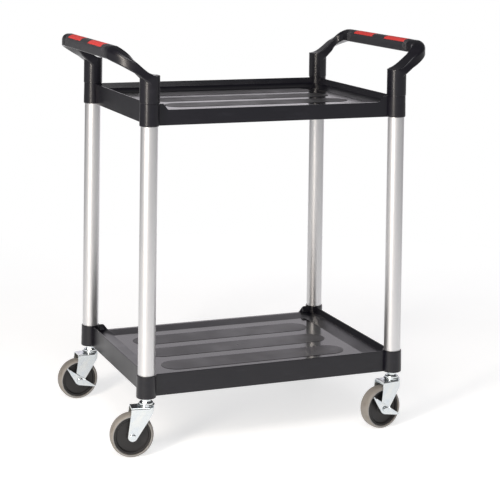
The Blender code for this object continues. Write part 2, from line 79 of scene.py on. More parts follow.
BODY_OF = {
    node: body for body, nodes in frame["record"]["behaviour"]["bodies"].items() for node in nodes
}
JOINTS = {joint["name"]: joint for joint in frame["joints"]}


def low(node):
    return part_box(node)[0]


def high(node):
    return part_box(node)[1]


def middle(node):
    return (low(node) + high(node)) / 2


def extent(node):
    return high(node) - low(node)


# A CAD circle has 24 sides, each facing outwards, so its box is a little narrower than it is.
CAD_FLAT = math.cos(math.pi / 24)
POST_X = middle("post_front_right").x
POST_Y = -middle("post_front_right").y
POST_R = extent("post_front_right").x / 2 / CAD_FLAT
POST_WALL = 1.5 * MM
FINE = 96
SHARP_ANGLE = math.radians(38)

# How far towards an axis a face points, for choosing the face's material.
POINTS_UP = 0.9
IS_LEVEL = 0.995
POINTS_SIDEWAYS = 0.8

# Trays, measured up from the bottom of the corner collars.
TRAY_H = extent("upper_tray").z
SKIRT_Z = 0.3 * MM
LIP_Z = TRAY_H - 2.2 * MM
LEDGE_Z = TRAY_H - 16.0 * MM
FLOOR_Z = TRAY_H - 22.0 * MM
DIP_Z = TRAY_H - 16.6 * MM
WALL = 3.0 * MM
EDGE = 1.1 * MM
LEDGE_INSET = 9.5 * MM
FLOOR_INSET = 47.0 * MM
HIDDEN_CORNER = 10.0 * MM
FLOOR_CORNER = 7.0 * MM
CORNER_STEPS = 6
DIP_STATIONS = tuple(x * MM for x in (284.0, 281.5, 279.5, 278.0, 275.0, 272.0, 269.5, 267.5, 265.0))
DIP_LOW_X = 267.5 * MM
DIP_TOP_X = 281.0 * MM
COLLAR_R_TOP = 22.4 * MM
COLLAR_R_LOW = 23.0 * MM
COLLAR_EDGE = 2.6 * MM
PAD_HALF_LENGTH = 236.0 * MM
PAD_HALF_WIDTH = 38.0 * MM
PAD_PITCH = 111.0 * MM
PAD_RISE = 0.6 * MM
RIB_HALF = 1.25 * MM
RIB_DROP = 14.0 * MM
RIB_X = (-150.0 * MM, 0.0, 150.0 * MM)
RIB_Y = (-75.0 * MM, 75.0 * MM)
GATE_R = 3.2 * MM

# Handles, for the right one. Its plan line runs out from a leg, round a bend and along the bar.
LEG_R = 23.4 * MM
LEG_BASE_Z = low("handle_right").z
LEG_INNER_Z = 870.5 * MM
LEG_TOP_EDGE = 4.0 * MM
LEG_COLUMN_Z = 866.0 * MM
BAR_HALF_W = 17.0 * MM
BAR_HALF_H = 15.3 * MM
BAR_X = high("handle_right").x - BAR_HALF_W
BAR_Z = high("handle_right").z - BAR_HALF_H
BAR_EDGE_TOP = 14.0 * MM
BAR_EDGE_LOW = 4.0 * MM
BEND_R = 40.0 * MM
BEND_START = BAR_X - POST_X - BEND_R
ARM_REACH = BEND_START + BEND_R * math.pi / 2
ARM_RIBS = 48
ARM_EDGE = 3.0 * MM
ARM_LEAN = 2.7 * MM
HEEL_SLOPE = 0.8
HEEL_REACH = 5.0 * MM
ROOT_PROUD = 0.05 * MM
# Shares of the way along an arm where its section changes.
CRISP_BY = 0.1
NARROWED_BY = 0.75
SOFTENS_FROM = 0.46
# Points round each corner of a section, and along each of its upright sides.
SECTION_STEPS = 12
SIDE_STEPS = 6

GRIP_HALF = high("grip_right").y
GRIP_THICK = 3.0 * MM
GRIP_RIB_PITCH = 7.0 * MM
GRIP_RIBS = 3
INSERT_SPAN = math.radians(60.0)
INSERT_PROUD = 0.5 * MM
INSERT_DEPTH = 1.6 * MM
INSERT_RIBS = 18
INSERT_GAP = 2.2 * MM

# Castors.
SWIVEL = Vector(JOINTS["front_left_swivel"]["pos_m"])
AXLE = Vector(JOINTS["front_left_spin"]["pos_m"])
TRAIL = (AXLE - SWIVEL).to_2d().length
WHEEL_R = AXLE.z
TYRE_HALF = 16.0 * MM
SEAT_R = 42.6 * MM
HUB_FACE = 13.5 * MM
HUB_WEB = 8.5 * MM
BOSS_R = 12.0 * MM
SLEEVE_R = 6.4 * MM
AXLE_R = 5.0 * MM
FORK_HALF = 20.0 * MM
PLATE = 2.5 * MM
FORK_FRONT = 17.0 * MM
FORK_REAR = 35.5 * MM
FORK_TOP_Z = high("castor_front_left_fork").z
FORK_FOOT_R = 11.0 * MM
FORK_BEND = 3.5 * MM
KING_R = 8.0 * MM
STEM_R = 5.7 * MM
STEM_LOW_Z = low("castor_front_left_stem").z
STEM_TOP_Z = high("castor_front_left_stem").z
CAP_R = 19.8 * MM
CAP_TOP_Z = high("castor_front_left_cap").z
NUT_TOP_Z = high("castor_front_left_stem_nut").z
LEVER_HALF = 46.5 * MM
LEVER_TILT = math.radians(34.4)
LEVER_EDGE = 9.4 * MM
LEVER_APEX = 12.0 * MM
LEVER_PLATE = 2.0 * MM
LEVER_FLANGE = 6.0 * MM


# Mesh tools


def circle(radius, z, count=FINE):
    turns = [(i + 0.5) * math.tau / count for i in range(count)]
    return [Vector((radius * math.cos(a), radius * math.sin(a), z)) for a in turns]


def as_mesh(bm, name):
    bmesh.ops.recalc_face_normals(bm, faces=bm.faces)
    mesh = bpy.data.meshes.new(name)
    bm.to_mesh(mesh)
    bm.free()
    return shaded(mesh)


def shaded(mesh):
    mesh.shade_smooth()
    mesh.set_sharp_from_angle(angle=SHARP_ANGLE)
    return mesh


def loft(name, rings, closed=False):
    """Skin rings of equal length. The ends are capped, unless the rings run round to the start."""
    bm = bmesh.new()
    loops = [[bm.verts.new(point) for point in ring] for ring in rings]
    pairs = list(zip(loops, loops[1:]))
    if closed:
        pairs.append((loops[-1], loops[0]))
    for first, second in pairs:
        for i, corner in enumerate(first):
            j = (i + 1) % len(first)
            bm.faces.new((corner, first[j], second[j], second[i]))
    if not closed:
        bm.faces.new(loops[0])
        bm.faces.new(loops[-1])
    return as_mesh(bm, name)


def turned(name, profile, closed=True, count=FINE):
    """A round piece about Z, from a profile of (radius, z)."""
    return loft(name, [circle(radius, z, count) for radius, z in profile], closed)


def prism(name, outline, bottom, top, rounding=0.0, both=False):
    """An outline of (x, y) points, extruded. Its top rim, or both rims, can be rounded."""
    bm = bmesh.new()
    base = [bm.verts.new((x, y, bottom)) for x, y in outline]
    lid = [bm.verts.new((x, y, top)) for x, y in outline]
    for i in range(len(outline)):
        j = (i + 1) % len(outline)
        bm.faces.new((base[i], base[j], lid[j], lid[i]))
    faces = [bm.faces.new(lid), bm.faces.new(base)]
    if rounding:
        rims = faces if both else faces[:1]
        edges = {edge for face in rims for edge in face.edges}
        bmesh.ops.bevel(bm, geom=list(edges), offset=rounding, segments=4, profile=0.5, affect="EDGES")
    return as_mesh(bm, name)


def block(name, first, last):
    outline = ((first[0], first[1]), (last[0], first[1]), (last[0], last[1]), (first[0], last[1]))
    return prism(name, outline, first[2], last[2])


def combine(mesh, tool, operation):
    """The Boolean of two meshes, as a new mesh."""
    pair = [bpy.data.objects.new("part", item) for item in (mesh, tool)]
    for item in pair:
        bpy.context.scene.collection.objects.link(item)
    step = pair[0].modifiers.new("combine", "BOOLEAN")
    step.operation = operation
    step.object = pair[1]
    graph = bpy.context.evaluated_depsgraph_get()
    result = bpy.data.meshes.new_from_object(pair[0].evaluated_get(graph))
    for item in pair:
        bpy.data.objects.remove(item, do_unlink=True)
    result.name = mesh.name
    return shaded(result)


def moved(mesh, matrix):
    mesh.transform(matrix)
    return mesh


def across(mesh, x=0.0, z=0.0):
    """Turn a piece made about Z so that it runs along +Y at (x, z)."""
    return moved(mesh, Matrix.Translation((x, 0, z)) @ Matrix.Rotation(-math.pi / 2, 4, "X"))


def stood_up(mesh):
    """Swap Y and Z, so that an outline drawn as (x, z) is extruded along Y."""
    moved(mesh, Matrix(((1, 0, 0, 0), (0, 0, 1, 0), (0, 1, 0, 0), (0, 0, 0, 1))))
    mesh.flip_normals()
    return mesh


def show(node, mesh, materials, place=Matrix.Identity(4)):
    """Show a mesh in place of a CAD node, riding on that node's body."""
    piece = bpy.data.objects.new(f"{node}_fine", mesh)
    bpy.context.scene.collection.objects.link(piece)
    if not mesh.materials:
        for material in materials:
            mesh.materials.append(material)
    piece.matrix_world = place
    weighting = piece.modifiers.new("even shading", "WEIGHTED_NORMAL")
    weighting.keep_sharp = True
    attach(piece, BODY_OF[node])
    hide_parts(node)
    return piece


# Trays


def dip_height(x):
    """The height of the lip along the side that dips, at a distance from the middle."""
    share = (abs(x) - DIP_LOW_X) / (DIP_TOP_X - DIP_LOW_X)
    share = min(max(share, 0.0), 1.0)
    eased = share * share * (3 - 2 * share)
    return DIP_Z + (LIP_Z - DIP_Z) * (share + eased) / 2


def tray_ring(inset, z, follows_lip=False):
    """A rounded rectangle at a distance inside the skirt. The dip is in its -Y side."""
    half_x = POST_X - inset
    half_y = POST_Y - inset
    radius = FLOOR_CORNER if inset > LEDGE_INSET * 2 else HIDDEN_CORNER
    ring = []
    for quarter, (side_x, side_y) in enumerate(((1, 1), (-1, 1), (-1, -1), (1, -1))):
        for i in range(CORNER_STEPS + 1):
            angle = (quarter + i / CORNER_STEPS) * math.pi / 2
            x = side_x * (half_x - radius) + radius * math.cos(angle)
            y = side_y * (half_y - radius) + radius * math.sin(angle)
            ring.append(Vector((x, y, z)))
        if quarter == 2:
            ring += dip_points(half_x - radius, -half_y, z, follows_lip)
    return ring


def dip_points(limit, y, z, follows_lip):
    """The points between the two -Y corners, lowered to the dip, from -X to +X."""
    points = []
    for i, station in enumerate(DIP_STATIONS):
        x = min(station, limit - (i + 1) * GAP)
        top = dip_height(station)
        height = z - (LIP_Z - top) if follows_lip else min(z, top)
        points.append((x, height))
    left = [Vector((-x, y, height)) for x, height in points]
    right = [Vector((x, y, height)) for x, height in reversed(points)]
    return left + right


def tray_pan():
    """The moulded shell, from the underside of the floor round the skirt and lip to the floor."""
    wall_top = WALL + 0.6 * MM
    levels = (
        (FLOOR_INSET, FLOOR_Z - WALL),
        (LEDGE_INSET + 2 * WALL, LEDGE_Z - WALL),
        (WALL + EDGE, LEDGE_Z - WALL - EDGE),
        (WALL, LEDGE_Z - WALL - 2 * EDGE),
        (WALL, SKIRT_Z + EDGE / 2),
        (WALL - EDGE / 2, SKIRT_Z),
        (EDGE / 2, SKIRT_Z),
        (0.0, SKIRT_Z + EDGE / 2),
        (0.0, LIP_Z - EDGE, True),
        (EDGE * 0.3, LIP_Z - EDGE * 0.3, True),
        (EDGE, LIP_Z, True),
        (wall_top - EDGE, LIP_Z),
        (wall_top - EDGE * 0.3, LIP_Z - EDGE * 0.3),
        (wall_top, LIP_Z - EDGE),
        (LEDGE_INSET - EDGE, LEDGE_Z + 2 * EDGE),
        (LEDGE_INSET, LEDGE_Z + EDGE * 0.5),
        (LEDGE_INSET + EDGE * 1.5, LEDGE_Z),
        (FLOOR_INSET - EDGE, FLOOR_Z + EDGE * 0.3),
        (FLOOR_INSET + EDGE, FLOOR_Z),
    )
    return loft("tray", [tray_ring(*level) for level in levels])


def stadium(half_length, half_width):
    outline = []
    steps = 16
    for side in (1, -1):
        centre = side * (half_length - half_width)
        for i in range(steps + 1):
            angle = math.pi * (i / steps - 0.5)
            across_end = half_width * math.cos(angle)
            outline.append((centre + side * across_end, side * half_width * math.sin(angle)))
    return outline


def pad_mesh(row):
    """A raised pad with a soft rim, sunk a little way into the floor."""
    rings = []
    for inset, z in ((0, -WALL / 2), (0, PAD_RISE * 0.4), (0.3 * MM, PAD_RISE * 0.8), (MM, PAD_RISE)):
        outline = stadium(PAD_HALF_LENGTH - inset, PAD_HALF_WIDTH - inset)
        rings.append([Vector((x, y + row * PAD_PITCH, FLOOR_Z + z)) for x, y in outline])
    return loft("pad", rings)


def underside_ribs():
    """Thin webs under the floor, as (lowest corner, highest corner)."""
    reach_x = POST_X - WALL - LEDGE_INSET
    reach_y = POST_Y - WALL - LEDGE_INSET
    bottom = FLOOR_Z - WALL - RIB_DROP
    top = FLOOR_Z - WALL / 2
    crossing = [((x - RIB_HALF, -reach_y, bottom), (x + RIB_HALF, reach_y, top)) for x in RIB_X]
    running = [((-reach_x, y - RIB_HALF, bottom), (reach_x, y + RIB_HALF, top)) for y in RIB_Y]
    return crossing + running


def tray_mesh():
    tray = tray_pan()
    for row in (-1, 0, 1):
        tray = combine(tray, pad_mesh(row), "UNION")
    for first, last in underside_ribs():
        tray = combine(tray, block("rib", first, last), "UNION")
    collar_profile = (
        (COLLAR_R_LOW - COLLAR_EDGE, 0.0),
        (COLLAR_R_LOW - COLLAR_EDGE * 0.4, COLLAR_EDGE * 0.2),
        (COLLAR_R_LOW - COLLAR_EDGE * 0.1, COLLAR_EDGE * 0.5),
        (COLLAR_R_LOW, COLLAR_EDGE),
        (COLLAR_R_TOP, TRAY_H - EDGE / 2),
        (COLLAR_R_TOP - EDGE / 2, TRAY_H),
    )
    bore_profile = ((POST_R + GAP, -MM), (POST_R + GAP, TRAY_H + MM))
    for side_x, side_y in CORNERS.values():
        at_post = Matrix.Translation((side_x * POST_X, side_y * POST_Y, 0))
        tray = combine(tray, moved(turned("collar", collar_profile, False), at_post), "UNION")
        tray = combine(tray, moved(turned("bore", bore_profile, False), at_post), "DIFFERENCE")
    gate = moved(turned("gate", ((GATE_R, -GAP), (GATE_R, MM)), False, 24), gate_place())
    return combine(tray, gate, "DIFFERENCE")


def gate_place():
    """The moulding mark sits in the middle of the centre pad."""
    return Matrix.Translation((0, 0, FLOOR_Z + PAD_RISE))


def mark_finishes(mesh):
    """Give the pads' tops the second material, and the other level faces of the floor the third."""
    pad_top = FLOOR_Z + PAD_RISE
    for face in mesh.polygons:
        if face.normal.z < POINTS_UP or face.center.z < FLOOR_Z - GAP:
            continue
        if abs(face.center.z - pad_top) < GAP / 3:
            face.material_index = 1
        elif face.normal.z > IS_LEVEL:
            face.material_index = 2


def build_trays(materials):
    mesh = tray_mesh()
    mark_finishes(mesh)
    finishes = (materials["plastic"], materials["pad"], materials["gloss"])
    show("upper_tray", mesh, finishes, Matrix.Translation((0, 0, low("upper_tray").z)))
    turned_round = Matrix.Rotation(math.pi, 4, "Z")
    show("lower_tray", mesh, finishes, Matrix.Translation((0, 0, low("lower_tray").z)) @ turned_round)


# Posts


def build_posts(materials):
    bottom = low("post_front_left").z
    top = high("post_front_left").z
    inner = POST_R - POST_WALL
    trim = 0.4 * MM
    post = turned(
        "post",
        (
            (inner, bottom),
            (POST_R - trim, bottom),
            (POST_R, bottom + trim),
            (POST_R, top - trim),
            (POST_R - trim, top),
            (inner, top),
        ),
    )
    plug_low = low("stem_socket_front_left").z
    plug_top = high("stem_socket_front_left").z
    bore = STEM_R + GAP
    plug = turned(
        "stem_socket",
        (
            (bore, plug_low),
            (POST_R - trim - GAP, plug_low),
            (POST_R - GAP, plug_low + trim),
            (POST_R - GAP, bottom - GAP),
            (inner - GAP, bottom - GAP),
            (inner - GAP, plug_top - MM),
            (inner - 2 * MM, plug_top),
            (bore, plug_top),
        ),
    )
    for corner, (side_x, side_y) in CORNERS.items():
        place = Matrix.Translation((side_x * POST_X, side_y * POST_Y, 0))
        show(f"post_{corner}", post, (materials["aluminium"],), place)
        show(f"stem_socket_{corner}", plug, (materials["hub"],), place)


# Handles


def section(half_w, half_h, radii):
    """(across, up) points of a rectangle with its own radius at each corner.

    The corners are in order: outer top, inner top, inner low, outer low. The two upright sides have
    points along them too.
    """
    points = []
    for quarter, (side_w, side_h) in enumerate(((1, 1), (-1, 1), (-1, -1), (1, -1))):
        radius = radii[quarter]
        for i in range(SECTION_STEPS):
            angle = (quarter + (i + 0.5) / SECTION_STEPS) * math.pi / 2
            side = side_w * (half_w - radius) + radius * math.cos(angle)
            points.append((side, side_h * (half_h - radius) + radius * math.sin(angle)))
        if side_w * side_h < 0:
            start = side_h * (half_h - radius)
            stop = -side_h * (half_h - radii[(quarter + 1) % 4])
            for i in range(SIDE_STEPS):
                share = (i + 0.5) / SIDE_STEPS
                points.append((side_w * half_w, blend(start, stop, share)))
    return points


def bezier(points, t):
    u = 1 - t
    weights = (u**3, 3 * u * u * t, 3 * u * t * t, t**3)
    return sum((weight * Vector(point) for weight, point in zip(weights, points)), Vector((0, 0)))


def smooth_step(t):
    t = min(max(t, 0.0), 1.0)
    return t * t * (3 - 2 * t)


def blend(first, last, share):
    return first + (last - first) * share


ARM_TOP_CURVE = (
    (-LEG_R + LEG_TOP_EDGE, LEG_INNER_Z),
    (14 * MM, 864.5 * MM),
    (43 * MM, BAR_Z + BAR_HALF_H - 5.5 * MM),
    (ARM_REACH, BAR_Z + BAR_HALF_H),
)
ARM_LOW_CURVE = (
    (12 * MM, 856 * MM),
    (38.5 * MM, 876.5 * MM),
    (58 * MM, BAR_Z - BAR_HALF_H - 3 * MM),
    (ARM_REACH, BAR_Z - BAR_HALF_H),
)


def wrap(s, across_path, z):
    """A point at distance s along the handle's plan line from its front leg's axis.

    across_path is the distance to the outer side of the line. Inside the leg's circle the point
    is kept within that circle, so that an arm grows out of a round leg.
    """
    if s < BEND_START:
        if s < 0:
            reach = math.sqrt(max((LEG_R + ROOT_PROUD) ** 2 - s * s, 0.0))
            across_path = min(max(across_path, -reach), reach)
        return Vector((POST_X + s, -POST_Y - across_path, z))
    turn = min((s - BEND_START) / BEND_R, math.pi / 2)
    x = POST_X + BEND_START + (BEND_R + across_path) * math.sin(turn)
    y = -POST_Y + BEND_R - (BEND_R + across_path) * math.cos(turn) + max(s - ARM_REACH, 0.0)
    return Vector((x, y, z))


def heel_rings():
    """The arm's root inside the leg: a sloping underside, then round to the leg's inner top edge."""
    steps = 6
    foot = bezier(ARM_LOW_CURVE, 0.0)
    heel = foot - Vector((1.0, HEEL_SLOPE)) * HEEL_REACH
    start = Vector((-LEG_R, heel.y - HEEL_SLOPE * (heel.x + LEG_R)))
    rings = [rib_ring(start, heel, 0.0)]
    for i in range(steps - 1):
        angle = i / (steps - 1) * math.pi / 2
        s = -LEG_R + LEG_TOP_EDGE * (1 - math.cos(angle))
        z = LEG_INNER_Z - LEG_TOP_EDGE * (1 - math.sin(angle))
        rings.append(rib_ring(Vector((s, z)), heel.lerp(foot, (i + 1) / steps), 0.0))
    return rings


def rib_ring(top, bottom, t):
    """One rib of an arm, standing between its two edge curves and leaning inwards part of the way."""
    centre = (top + bottom) / 2
    up = (top - bottom).normalized()
    half_h = (top - bottom).length / 2
    half_w = blend(LEG_R, BAR_HALF_W, smooth_step(t / NARROWED_BY))
    lean = ARM_LEAN * math.sin(math.pi * t)
    crisp = blend(min(half_w, half_h), ARM_EDGE, smooth_step(t / CRISP_BY))
    top_edge = blend(crisp, BAR_EDGE_TOP, smooth_step((t - SOFTENS_FROM) / (1 - SOFTENS_FROM)))
    ring = []
    for side, height in section(half_w, half_h, (top_edge, top_edge, BAR_EDGE_LOW, BAR_EDGE_LOW)):
        point = centre + up * height
        ring.append(wrap(point.x, side, point.y - lean * side / half_w))
    return ring


def bar_ring(y, inset=0.0):
    top = BAR_EDGE_TOP - inset
    foot = BAR_EDGE_LOW - inset
    outline = section(BAR_HALF_W - inset, BAR_HALF_H - inset, (top, top, foot, foot))
    return [Vector((BAR_X + side, y, BAR_Z + height)) for side, height in outline]


def arms_mesh():
    """Both arms of the right handle and the ends of its bar, with a root inside each leg."""
    seam = -GRIP_HALF - GAP
    half = heel_rings()
    for i in range(ARM_RIBS + 1):
        t = i / ARM_RIBS
        half.append(rib_ring(bezier(ARM_TOP_CURVE, t), bezier(ARM_LOW_CURVE, t), t))
    half += [bar_ring(seam - EDGE), bar_ring(seam, EDGE / 3), bar_ring(seam, GRIP_THICK)]
    mirror = [[Vector((p.x, -p.y, p.z)) for p in ring] for ring in reversed(half)]
    return loft("handle", half + mirror)


def handle_mesh():
    """The right handle: two round legs that fit over the post tops, and the arms between them."""
    handle = arms_mesh()
    column = ((LEG_R - EDGE / 2, LEG_BASE_Z), (LEG_R, LEG_BASE_Z + EDGE / 2))
    column += ((LEG_R, LEG_COLUMN_Z - MM), (LEG_R - MM, LEG_COLUMN_Z))
    socket = ((POST_R + GAP, LEG_BASE_Z - MM), (POST_R + GAP, high("post_front_right").z + GAP))
    for side in (-1, 1):
        at_post = Matrix.Translation((POST_X, side * POST_Y, 0))
        handle = combine(handle, moved(turned("leg", column, False), at_post), "UNION")
        handle = combine(handle, moved(turned("socket", socket, False), at_post), "DIFFERENCE")
    return handle


def grip_mesh():
    """The soft sleeve, with a few narrow ribs round each end."""
    depth = 0.7 * MM
    outer = [(GRIP_HALF, EDGE / 3), (GRIP_HALF - EDGE / 2, 0.0)]
    for rib in range(GRIP_RIBS):
        start = GRIP_HALF - 4 * MM - rib * GRIP_RIB_PITCH
        outer += [(start, 0.0), (start - depth, depth)]
        outer += [(start - 2 * depth, depth), (start - 3 * depth, 0.0)]
    rings = [bar_ring(-y, inset) for y, inset in outer]
    rings += [bar_ring(y, inset) for y, inset in reversed(outer)]
    bore = GRIP_THICK - GAP
    rings += [bar_ring(GRIP_HALF, bore), bar_ring(-GRIP_HALF, bore)]
    return loft("grip", rings, closed=True)


def band(low_inset, stations, span):
    """A strip that wraps over the top of the grip. A station is (y, distance that it stands proud)."""
    steps = 20
    rings = []
    for y, proud in stations:
        outline = []
        for inset, order in ((-proud, 1), (low_inset, -1)):
            radius = BAR_EDGE_TOP - inset
            for i in range(steps + 1):
                angle = order * span * (1 - 2 * i / steps)
                shift = (BAR_HALF_W - BAR_EDGE_TOP) * math.sin(angle) / math.sin(span)
                outline.append((BAR_X + shift + radius * math.sin(angle), radius * math.cos(angle)))
        crown = BAR_Z + BAR_HALF_H - BAR_EDGE_TOP
        rings.append([Vector((x, y, crown + z)) for x, z in outline])
    return loft("grip_insert", rings)


def insert_mesh(first, last):
    """A red insert with narrow ribs across it."""
    pitch = (last - first) / INSERT_RIBS
    stations = [(first, 0.0), (first + EDGE / 2, INSERT_PROUD)]
    for rib in range(1, INSERT_RIBS):
        y = first + rib * pitch
        stations += [
            (y - 0.25 * pitch, INSERT_PROUD),
            (y - 0.1 * pitch, 0.0),
            (y + 0.1 * pitch, 0.0),
            (y + 0.25 * pitch, INSERT_PROUD),
        ]
    stations += [(last - EDGE / 2, INSERT_PROUD), (last, 0.0)]
    return band(INSERT_DEPTH, stations, INSERT_SPAN)


def build_handles(materials):
    handle = handle_mesh()
    grip = grip_mesh()
    inserts = {}
    for end in ("front", "rear"):
        node = f"grip_insert_right_{end}"
        first, last = low(node).y, high(node).y
        inserts[end] = insert_mesh(first, last)
        mouth = ((first - INSERT_GAP, 2 * MM), (last + INSERT_GAP, 2 * MM))
        pocket = band(INSERT_DEPTH + GAP, mouth, INSERT_SPAN + math.radians(1.5))
        grip = combine(grip, pocket, "DIFFERENCE")
    turned_round = Matrix.Rotation(math.pi, 4, "Z")
    for side, place in (("right", Matrix.Identity(4)), ("left", turned_round)):
        show(f"handle_{side}", handle, (materials["handle"],), place)
        show(f"grip_{side}", grip, (materials["grip"],), place)
    for end, opposite in (("front", "rear"), ("rear", "front")):
        show(f"grip_insert_right_{end}", inserts[end], (materials["insert"],))
        show(f"grip_insert_left_{end}", inserts[opposite], (materials["insert"],), turned_round)


# Castors


def both_sides(half_profile):
    """Mirror a half profile of (radius, distance from the middle) into a closed one."""
    near = [(radius, -offset) for radius, offset in half_profile]
    return near + [(radius, offset) for radius, offset in reversed(half_profile)]


def arc(centre_r, centre_z, radius, first, last, steps=4):
    """Profile points round an arc, with angles in degrees from outwards to up."""
    points = []
    for i in range(steps + 1):
        angle = math.radians(blend(first, last, i / steps))
        points.append((centre_r + radius * math.cos(angle), centre_z + radius * math.sin(angle)))
    return points


def tyre_mesh():
    """Grey tread with a round crown, bevelled shoulders and a raised side ring."""
    seat = SEAT_R + GAP
    side = [(seat, TYRE_HALF - 2 * MM), (seat + 0.6 * MM, TYRE_HALF - 0.4 * MM)]
    side += [(seat + 1.4 * MM, TYRE_HALF), (WHEEL_R - 5.2 * MM, TYRE_HALF)]
    side += [(WHEEL_R - 4.4 * MM, TYRE_HALF - 0.3 * MM)]
    crown = [(WHEEL_R - 1.9 * MM, TYRE_HALF - 2.6 * MM), (WHEEL_R - 1.0 * MM, TYRE_HALF - 4.2 * MM)]
    crown += [(WHEEL_R - 0.4 * MM, TYRE_HALF - 7 * MM), (WHEEL_R, TYRE_HALF - 11 * MM)]
    return across(turned("tyre", both_sides(side + crown)))


def hub_mesh():
    """Black hub: a boss, a sunk web, and a rim with a groove beside the tyre."""
    bore = SLEEVE_R + GAP
    half = [(bore, TYRE_HALF - 0.4 * MM), (bore + 0.4 * MM, TYRE_HALF)]
    half += [(BOSS_R - 0.8 * MM, TYRE_HALF), (BOSS_R, TYRE_HALF - 0.8 * MM)]
    half += [(BOSS_R + 0.3 * MM, HUB_WEB + 1.2 * MM), (BOSS_R + 1.5 * MM, HUB_WEB)]
    half += [(35.0 * MM, HUB_WEB), (36.4 * MM, HUB_WEB + 0.6 * MM)]
    half += [(38.0 * MM, HUB_FACE - 0.6 * MM), (38.8 * MM, HUB_FACE)]
    half += [(SEAT_R - 0.6 * MM, HUB_FACE), (SEAT_R, HUB_FACE - 0.6 * MM)]
    return across(turned("hub", both_sides(half)))


def fork_plan(inset, rear):
    """The pressing seen from above: square at the rear, round corners at the front."""
    half = FORK_HALF - inset
    corner = 11 * MM - inset
    front = -FORK_FRONT + inset
    steps = 10
    outline = [(rear, -half), (rear, half)]
    for side in (1, -1):
        for i in range(steps + 1):
            angle = math.pi / 2 * (i / steps if side > 0 else 1 - i / steps)
            x = front + corner - corner * math.sin(angle)
            outline.append((x, side * (half - corner + corner * math.cos(angle))))
    return outline


def tangent_angle(centre, point, radius, side):
    """The angle on a circle where a line from a point outside it touches the circle."""
    gap = point - centre
    return math.atan2(gap.y, gap.x) + side * math.acos(radius / gap.length)


def fork_side():
    """The legs seen from the side: a wedge that narrows to a round foot on the axle."""
    foot = Vector((TRAIL, WHEEL_R))
    front_corner = Vector((-FORK_FRONT - MM, FORK_TOP_Z - 6 * MM))
    rear_corner = Vector((FORK_REAR, FORK_TOP_Z + MM))
    outline = [tuple(rear_corner), (front_corner.x, rear_corner.y), tuple(front_corner)]
    start = tangent_angle(foot, front_corner, FORK_FOOT_R, 1)
    stop = tangent_angle(foot, rear_corner, FORK_FOOT_R, -1) + math.tau
    steps = 24
    for i in range(steps + 1):
        angle = blend(start, stop, i / steps)
        outline.append((foot.x + FORK_FOOT_R * math.cos(angle), foot.y + FORK_FOOT_R * math.sin(angle)))
    return outline


def axle_drill():
    """A cutter for a hole that the axle passes through, along Y at the origin."""
    bore = AXLE_R + GAP
    return across(turned("hole", ((bore, -2 * FORK_HALF), (bore, 2 * FORK_HALF)), False, 48))


def fork_mesh():
    rear = FORK_REAR + 12 * MM
    fork = prism("fork", fork_plan(0.0, rear), MM, FORK_TOP_Z, FORK_BEND)
    inner_top = FORK_TOP_Z - PLATE
    hollow = prism("hollow", fork_plan(PLATE, rear + 3 * MM), 0.0, inner_top, FORK_BEND - PLATE)
    fork = combine(fork, hollow, "DIFFERENCE")
    fork = combine(fork, stood_up(prism("side", fork_side(), -2 * FORK_HALF, 2 * FORK_HALF)), "INTERSECT")
    at_axle = Matrix.Translation((TRAIL, 0, WHEEL_R))
    fork = combine(fork, moved(axle_drill(), at_axle), "DIFFERENCE")
    bore = KING_R + 2 * GAP
    king_hole = turned("hole", ((bore, FORK_TOP_Z - 2 * PLATE), (bore, FORK_TOP_Z + MM)), False, 48)
    return combine(fork, king_hole, "DIFFERENCE")


def stem_mesh():
    """Stem and kingpin in one: a riveted head under the crown and a plain stem up into the post."""
    head_top = FORK_TOP_Z - PLATE - GAP
    profile = [(KING_R * 0.6, STEM_LOW_Z)]
    profile += [(KING_R, STEM_LOW_Z + 0.5 * MM), (KING_R + 3.5 * MM, STEM_LOW_Z + 2 * MM)]
    profile += [(KING_R + 3.5 * MM, head_top), (KING_R, head_top)]
    profile += [(KING_R, CAP_TOP_Z), (STEM_R, CAP_TOP_Z)]
    profile += [(STEM_R, STEM_TOP_Z - MM), (STEM_R - MM, STEM_TOP_Z)]
    return turned("stem", profile, False)


def cap_mesh():
    """The race housing: a rolled flange over the crown and a raised dust cap inside it."""
    bottom = low("castor_front_left_cap").z
    bore = KING_R + GAP
    profile = [(bore, bottom), (CAP_R - 3.0 * MM, bottom), (CAP_R - 3.0 * MM, bottom + 1.6 * MM)]
    profile += [(CAP_R - 1.0 * MM, bottom + 1.9 * MM)]
    profile += arc(CAP_R - 1.3 * MM, bottom + 3.3 * MM, 1.3 * MM, -60, 90)
    profile += [(CAP_R - 3.2 * MM, bottom + 4.8 * MM), (CAP_R - 3.4 * MM, CAP_TOP_Z - 2.2 * MM)]
    profile += arc(CAP_R - 5.2 * MM, CAP_TOP_Z - 1.8 * MM, 1.8 * MM, 0, 90)
    profile += [(bore, CAP_TOP_Z)]
    return turned("cap", profile)


def hexagon_nut(name, radius, bottom, top, bore):
    """A nut with its corners turned off at both ends."""
    trim = 0.12 * radius
    body = loft(name, [circle(radius, bottom, 6), circle(radius, top, 6)])
    cone = [(radius - trim, bottom), (radius + EDGE, bottom + trim)]
    cone += [(radius + EDGE, top - trim), (radius - trim, top)]
    body = combine(body, turned("cone", cone, False, 48), "INTERSECT")
    return combine(body, turned("hole", ((bore, bottom - MM), (bore, top + MM)), False, 48), "DIFFERENCE")


